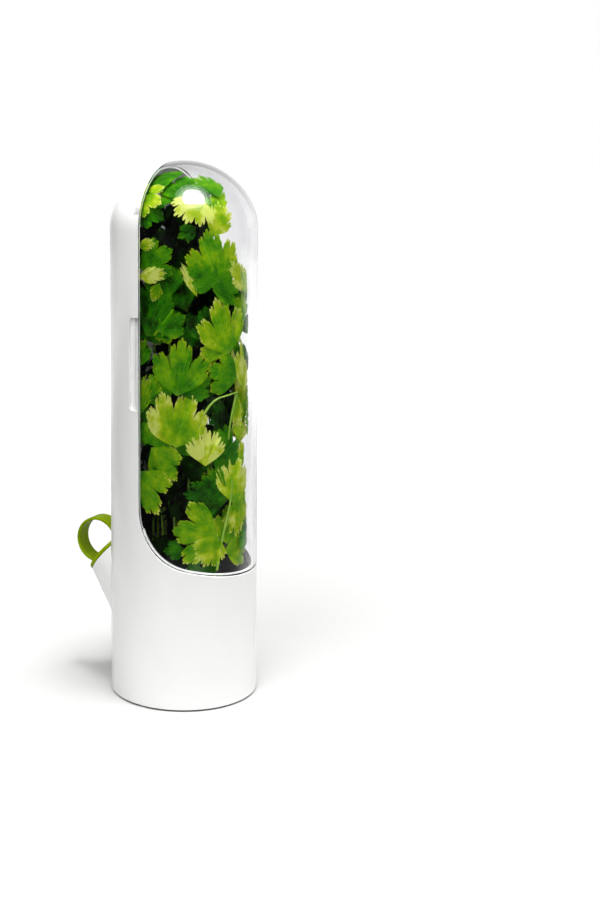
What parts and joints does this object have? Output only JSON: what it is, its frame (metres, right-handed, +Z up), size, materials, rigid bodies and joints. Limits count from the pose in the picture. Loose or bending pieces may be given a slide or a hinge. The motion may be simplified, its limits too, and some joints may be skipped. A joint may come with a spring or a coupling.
{
  "type": "herb keeper",
  "caption": "Upright domed herb keeper: white housing with a clear cover that slides up, a slotted stem basket over a water reservoir, and a filler spout closed by a pull-ring stopper.",
  "frame": {"origin": "centre of the round foot, on the surface that the pod stands on", "axes": "+Z up along the tube's axis, -Y out of the window, +Y towards the filler spout, X across"},
  "size_m": [0.072, 0.0953, 0.26],
  "materials": {
    "housing": "gloss moulded white",
    "cover": "clear moulded, polished",
    "basket": "clear moulded with a slight smoke tint",
    "stopper": "satin green silicone",
    "base": "fine moulded grain",
    "seal": "matt",
    "foot": "matt"
  },
  "bodies": {
    "pod": {"housing": "housing", "base_plate": "base", "base_seal": "seal", "foot_pad": "foot"},
    "cover": {"window_cover": "cover"},
    "basket": {"herb_basket": "basket"},
    "plug": {"stopper": "stopper"}
  },
  "joints": [
    {"name": "cover_slide", "type": "slide", "parent": "pod", "child": "cover", "axis": [0, 0, 1], "range_m": [0, 0.205]},
    {"name": "basket_lift", "type": "slide", "parent": "pod", "child": "basket", "axis": [0, 0, 1], "range_m": [0, 0.06]},
    {"name": "stopper_pull", "type": "slide", "parent": "pod", "child": "plug", "axis": [0, 0.766, 0.6428], "range_m": [0, 0.035]}
  ]
}
